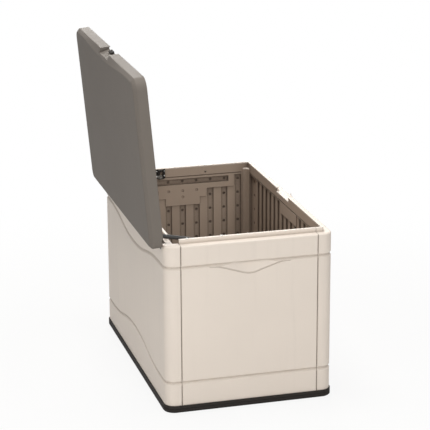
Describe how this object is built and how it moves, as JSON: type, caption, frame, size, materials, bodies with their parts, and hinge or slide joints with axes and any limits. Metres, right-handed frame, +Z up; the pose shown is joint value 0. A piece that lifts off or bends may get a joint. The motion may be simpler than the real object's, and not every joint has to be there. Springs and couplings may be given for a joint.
{
  "type": "deck storage box",
  "caption": "Double-walled plastic storage box for decks and gardens, with a hinged lid held open by gas struts, ribbed inner walls, finger grips and a front latch.",
  "frame": {"origin": "middle of the underside, where the floor tray stands on the ground", "axes": "+Z up, X along the long side of the box, +Y towards the hinges, so the front faces -Y"},
  "size_m": [1.008, 0.7336, 1.2374],
  "materials": {
    "beige_plastic": "fine matt moulded grain",
    "brown_plastic": "matt moulded",
    "lid_plastic": "fine matt moulded grain",
    "black_plastic": "satin",
    "grey_plastic": "satin",
    "strut_paint": "satin",
    "hinge_paint": "matt",
    "steel": "bright"
  },
  "bodies": {
    "box": {"back_liner": "brown_plastic", "back_panel": "beige_plastic", "column_back_left": "brown_plastic", "column_back_right": "brown_plastic", "column_cap_back_left": "beige_plastic", "column_cap_back_right": "beige_plastic", "column_cap_front_left": "beige_plastic", "column_cap_front_right": "beige_plastic", "column_front_left": "brown_plastic", "column_front_right": "brown_plastic", "floor_tray": "black_plastic", "front_liner": "brown_plastic", "front_panel": "beige_plastic", "hinge_bracket_left": "hinge_paint", "hinge_bracket_middle": "hinge_paint", "hinge_bracket_right": "hinge_paint", "hinge_bracket_screws": "steel", "hinge_pin_left": "steel", "hinge_pin_middle": "steel", "hinge_pin_right": "steel", "latch_catch": "beige_plastic", "left_end_liner": "brown_plastic", "left_end_panel": "beige_plastic", "right_end_liner": "brown_plastic", "right_end_panel": "beige_plastic", "rim_screws": "steel", "strut_wall_bracket_left": "black_plastic", "strut_wall_bracket_right": "black_plastic", "wall_bracket_screws": "steel"},
    "lid": {"hinge_leaf_left": "hinge_paint", "hinge_leaf_middle": "hinge_paint", "hinge_leaf_right": "hinge_paint", "hinge_leaf_screws": "steel", "latch_tongue": "black_plastic", "lid_bracket_screws": "steel", "lid_liner": "brown_plastic", "lid_top": "lid_plastic", "strut_lid_bracket_left": "black_plastic", "strut_lid_bracket_right": "black_plastic", "strut_lid_stud_left": "steel", "strut_lid_stud_right": "steel"},
    "tube_left": {"strut_tube_left": "strut_paint", "strut_tube_eye_left": "black_plastic", "strut_guide_left": "black_plastic"},
    "tube_right": {"strut_tube_right": "strut_paint", "strut_tube_eye_right": "black_plastic", "strut_guide_right": "black_plastic"},
    "rod_left": {"strut_rod_left": "steel", "strut_rod_eye_left": "grey_plastic", "strut_rod_stud_left": "steel"},
    "rod_right": {"strut_rod_right": "steel", "strut_rod_eye_right": "grey_plastic", "strut_rod_stud_right": "steel"}
  },
  "joints": [
    {"name": "lid_hinge", "type": "hinge", "parent": "box", "child": "lid", "pos_m": [0, 0.3066, 0.6175], "axis": [1, 0, 0], "range_deg": [0, 95.15]},
    {"name": "tube_left_pivot", "type": "hinge", "parent": "lid", "child": "tube_left", "pos_m": [-0.447, 0.33196, 0.6605], "axis": [1, 0, 0], "range_deg": [-98, 0]},
    {"name": "rod_left_slide", "type": "slide", "parent": "tube_left", "child": "rod_left", "axis": [0, 0.9797, 0.2005], "range_m": [0, 0.0736]},
    {"name": "tube_right_pivot", "type": "hinge", "parent": "lid", "child": "tube_right", "pos_m": [0.447, 0.33196, 0.6605], "axis": [1, 0, 0], "range_deg": [-98, 0]},
    {"name": "rod_right_slide", "type": "slide", "parent": "tube_right", "child": "rod_right", "axis": [0, 0.9797, 0.2005], "range_m": [0, 0.0736]}
  ],
  "couplings": [
    {"joint": "tube_left_pivot", "follows": "lid_hinge", "ratio": -1.0251},
    {"joint": "rod_left_slide", "follows": "lid_hinge", "m_per_rad": 0.044087},
    {"joint": "tube_right_pivot", "follows": "lid_hinge", "ratio": -1.0251},
    {"joint": "rod_right_slide", "follows": "lid_hinge", "m_per_rad": 0.044087}
  ]
}
